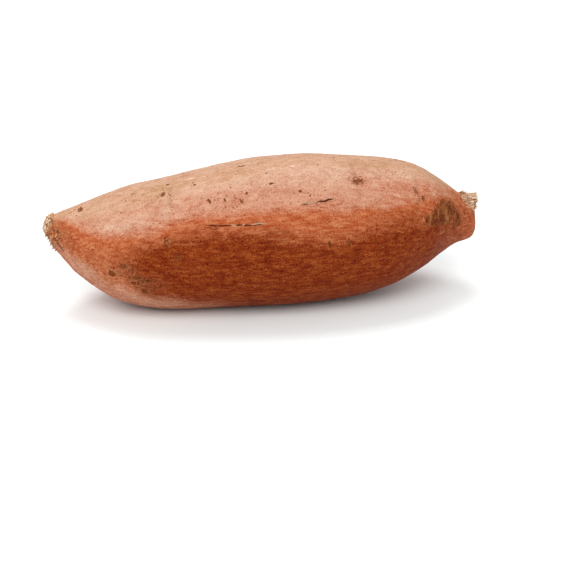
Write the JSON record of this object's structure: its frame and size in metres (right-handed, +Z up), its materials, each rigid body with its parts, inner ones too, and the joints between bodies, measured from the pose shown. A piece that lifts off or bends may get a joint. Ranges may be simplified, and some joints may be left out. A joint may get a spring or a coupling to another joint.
{
  "type": "sweet potato",
  "caption": "Whole raw sweet potato: a plump spindle-shaped root with a torn tail tip, a blunt stalk end with a fibrous stump, and a belly it rests on.",
  "frame": {"origin": "middle of the root's box seen from above, on the surface that the root rests on", "axes": "+X along the root from its tail end to its stalk end, +Y across it, away from the side with the long crack, +Z up"},
  "size_m": [0.2002, 0.0712, 0.067],
  "materials": {
    "skin": "matt, dry and slightly rough, copper-brown to pink"
  },
  "bodies": {
    "root": {"sweet_potato": "skin"}
  },
  "joints": []
}
